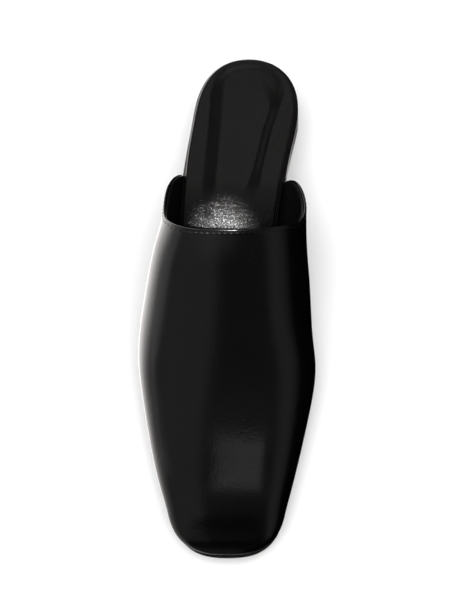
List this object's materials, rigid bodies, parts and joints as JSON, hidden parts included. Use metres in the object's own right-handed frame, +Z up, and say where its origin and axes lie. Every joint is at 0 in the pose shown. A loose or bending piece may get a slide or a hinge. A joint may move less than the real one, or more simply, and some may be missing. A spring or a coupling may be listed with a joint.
{
  "type": "mule shoe",
  "caption": "Square-toed leather mule with a closed vamp over the forefoot, an open back and a low block heel; the shoe for the right foot.",
  "frame": {"origin": "on the floor, under the centre of the shoe's bounding box", "axes": "+Z up, +Y from the toe to the heel, +X towards the inner side of the foot"},
  "size_m": [0.09, 0.2538, 0.0793],
  "materials": {
    "upper_leather": "high gloss, very fine grain",
    "sock_leather": "satin, soft grain",
    "insole_board": "satin, wrapped edge",
    "sole_leather": "inked and polished edge, matte tread",
    "heel_lacquer": "gloss lacquer",
    "top_piece_rubber": "matte, moulded"
  },
  "bodies": {
    "root": {"upper": "upper_leather", "sock": "sock_leather", "insole": "insole_board", "outsole": "sole_leather", "heel_block": "heel_lacquer", "top_piece": "top_piece_rubber"}
  },
  "joints": []
}
